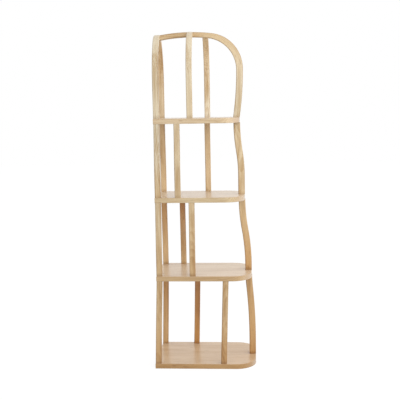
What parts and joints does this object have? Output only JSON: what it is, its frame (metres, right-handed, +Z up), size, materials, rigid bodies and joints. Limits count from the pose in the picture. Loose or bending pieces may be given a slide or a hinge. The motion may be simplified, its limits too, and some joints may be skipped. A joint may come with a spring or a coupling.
{
  "type": "corner shelf unit",
  "caption": "Free-standing wooden shelf unit with stepped, round-nosed shelves on wavy doweled sticks, crowned by bent ribs and an arched rail.",
  "frame": {"origin": "on the floor, under the middle of the bottom shelf", "axes": "+Z up, +X from the square end to the rounded end, the front looks towards -Y"},
  "size_m": [0.5005, 0.342, 1.6519],
  "materials": {
    "shelf_wood": "satin clear lacquer",
    "stick_wood": "satin clear lacquer",
    "dowel_wood": "plain"
  },
  "bodies": {
    "root": {"bottom_shelf": "shelf_wood", "lower_shelf": "shelf_wood", "middle_shelf": "shelf_wood", "upper_shelf": "shelf_wood", "front_left_post_tier_1": "stick_wood", "front_left_post_tier_2": "stick_wood", "front_left_post_tier_3": "stick_wood", "back_left_post_tier_1": "stick_wood", "back_left_post_tier_2": "stick_wood", "back_left_post_tier_3": "stick_wood", "front_spindle_tier_1": "stick_wood", "front_spindle_tier_2": "stick_wood", "front_spindle_tier_3": "stick_wood", "back_spindle_tier_1": "stick_wood", "back_spindle_tier_2": "stick_wood", "back_spindle_tier_3": "stick_wood", "front_left_post_tier_4": "stick_wood", "back_left_post_tier_4": "stick_wood", "front_spindle_tier_4": "stick_wood", "back_spindle_tier_4": "stick_wood", "right_post_tier_1": "stick_wood", "right_post_tier_2": "stick_wood", "right_post_tier_3": "stick_wood", "top_arch_rail": "stick_wood", "bottom_shelf_dowels": "dowel_wood", "lower_shelf_dowels": "dowel_wood", "middle_shelf_dowels": "dowel_wood", "upper_shelf_dowels": "dowel_wood", "rail_dowels": "dowel_wood", "rail_end_pins": "dowel_wood"}
  },
  "joints": []
}
